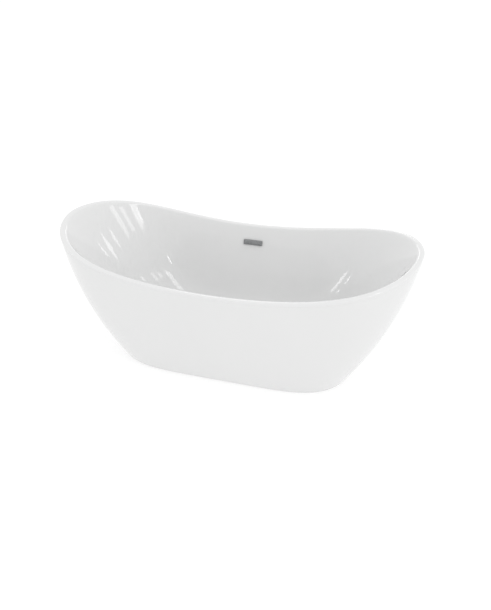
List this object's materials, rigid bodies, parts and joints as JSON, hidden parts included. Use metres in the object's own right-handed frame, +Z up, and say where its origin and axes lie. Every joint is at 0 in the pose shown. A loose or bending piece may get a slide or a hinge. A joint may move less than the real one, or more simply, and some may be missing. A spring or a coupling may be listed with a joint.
{
  "type": "freestanding bathtub",
  "caption": "Oval double-slipper freestanding bathtub: acrylic basin and skirt over a steel frame with screw feet, click-clack waste and slim wall overflow.",
  "frame": {"origin": "on the floor under the middle of the tub", "axes": "+X along the tub, +Y towards the long side with the overflow, +Z up"},
  "size_m": [1.6988, 0.78, 0.68],
  "materials": {
    "acrylic": "high-gloss sanitary acrylic",
    "chrome": "polished chrome plate",
    "frame_steel": "zinc-plated steel",
    "board_wood": "raw chipboard",
    "rubber": "matte black rubber",
    "black_plastic": "moulded black plastic",
    "white_plastic": "moulded white plastic",
    "brass": "machined brass"
  },
  "bodies": {
    "tub": {"base_board": "board_wood", "basin_shell": "acrylic", "board_screw_1": "frame_steel", "board_screw_2": "frame_steel", "board_screw_3": "frame_steel", "board_screw_4": "frame_steel", "brace_left": "frame_steel", "brace_right": "frame_steel", "bracket_bolt_1": "frame_steel", "bracket_bolt_2": "frame_steel", "bracket_bolt_3": "frame_steel", "bracket_bolt_4": "frame_steel", "crossbar_left": "frame_steel", "crossbar_right": "frame_steel", "end_cap_1": "black_plastic", "end_cap_2": "black_plastic", "end_cap_3": "black_plastic", "end_cap_4": "black_plastic", "hose_clip_bottom": "frame_steel", "hose_clip_top": "frame_steel", "lock_nut_1": "frame_steel", "lock_nut_2": "frame_steel", "lock_nut_3": "frame_steel", "lock_nut_4": "frame_steel", "outer_shell": "acrylic", "overflow_bezel": "black_plastic", "overflow_cover": "chrome", "overflow_gasket": "rubber", "overflow_hose": "white_plastic", "overflow_housing": "black_plastic", "overflow_screw_left": "frame_steel", "overflow_screw_right": "frame_steel", "plug_cartridge": "brass", "plug_spring": "frame_steel", "rail_back": "frame_steel", "rail_front": "frame_steel", "skirt_bracket_1": "frame_steel", "skirt_bracket_2": "frame_steel", "skirt_bracket_3": "frame_steel", "skirt_bracket_4": "frame_steel", "tail_nut": "black_plastic", "tail_washer": "rubber", "tailpiece": "white_plastic", "waste_backnut": "black_plastic", "waste_flange": "chrome", "waste_gasket_lower": "rubber", "waste_gasket_upper": "rubber", "waste_strainer": "chrome", "waste_tee": "white_plastic"},
    "plug": {"plug_cap": "chrome", "plug_seal": "rubber", "plug_stem": "brass"},
    "foot_1": {"foot_pad_1": "black_plastic"},
    "rod_1": {"foot_rod_1": "frame_steel"},
    "foot_2": {"foot_pad_2": "black_plastic"},
    "rod_2": {"foot_rod_2": "frame_steel"},
    "foot_3": {"foot_pad_3": "black_plastic"},
    "rod_3": {"foot_rod_3": "frame_steel"},
    "foot_4": {"foot_pad_4": "black_plastic"},
    "rod_4": {"foot_rod_4": "frame_steel"}
  },
  "joints": [
    {"name": "plug_slide", "type": "slide", "parent": "tub", "child": "plug", "axis": [0, 0, 1], "range_m": [-0.009, 0], "stiffness_N_per_m": 600, "springref_m": 0.008, "deforming": ["plug_spring"]},
    {"name": "foot_1_height", "type": "slide", "parent": "tub", "child": "foot_1", "axis": [0, 0, 1], "range_m": [-0.02, 0]},
    {"name": "rod_1_turn", "type": "hinge", "parent": "foot_1", "child": "rod_1", "pos_m": [0.4, 0.18, 0], "axis": [0, 0, 1], "range_deg": [-4120, 20]},
    {"name": "foot_2_height", "type": "slide", "parent": "tub", "child": "foot_2", "axis": [0, 0, 1], "range_m": [-0.02, 0]},
    {"name": "rod_2_turn", "type": "hinge", "parent": "foot_2", "child": "rod_2", "pos_m": [-0.4, 0.18, 0], "axis": [0, 0, 1], "range_deg": [-4120, 20]},
    {"name": "foot_3_height", "type": "slide", "parent": "tub", "child": "foot_3", "axis": [0, 0, 1], "range_m": [-0.02, 0]},
    {"name": "rod_3_turn", "type": "hinge", "parent": "foot_3", "child": "rod_3", "pos_m": [-0.4, -0.18, 0], "axis": [0, 0, 1], "range_deg": [-4120, 20]},
    {"name": "foot_4_height", "type": "slide", "parent": "tub", "child": "foot_4", "axis": [0, 0, 1], "range_m": [-0.02, 0]},
    {"name": "rod_4_turn", "type": "hinge", "parent": "foot_4", "child": "rod_4", "pos_m": [0.4, -0.18, 0], "axis": [0, 0, 1], "range_deg": [-4120, 20]}
  ],
  "couplings": [
    {"joint": "rod_1_turn", "follows": "foot_1_height", "rad_per_m": 3590.4},
    {"joint": "rod_2_turn", "follows": "foot_2_height", "rad_per_m": 3590.4},
    {"joint": "rod_3_turn", "follows": "foot_3_height", "rad_per_m": 3590.4},
    {"joint": "rod_4_turn", "follows": "foot_4_height", "rad_per_m": 3590.4}
  ]
}
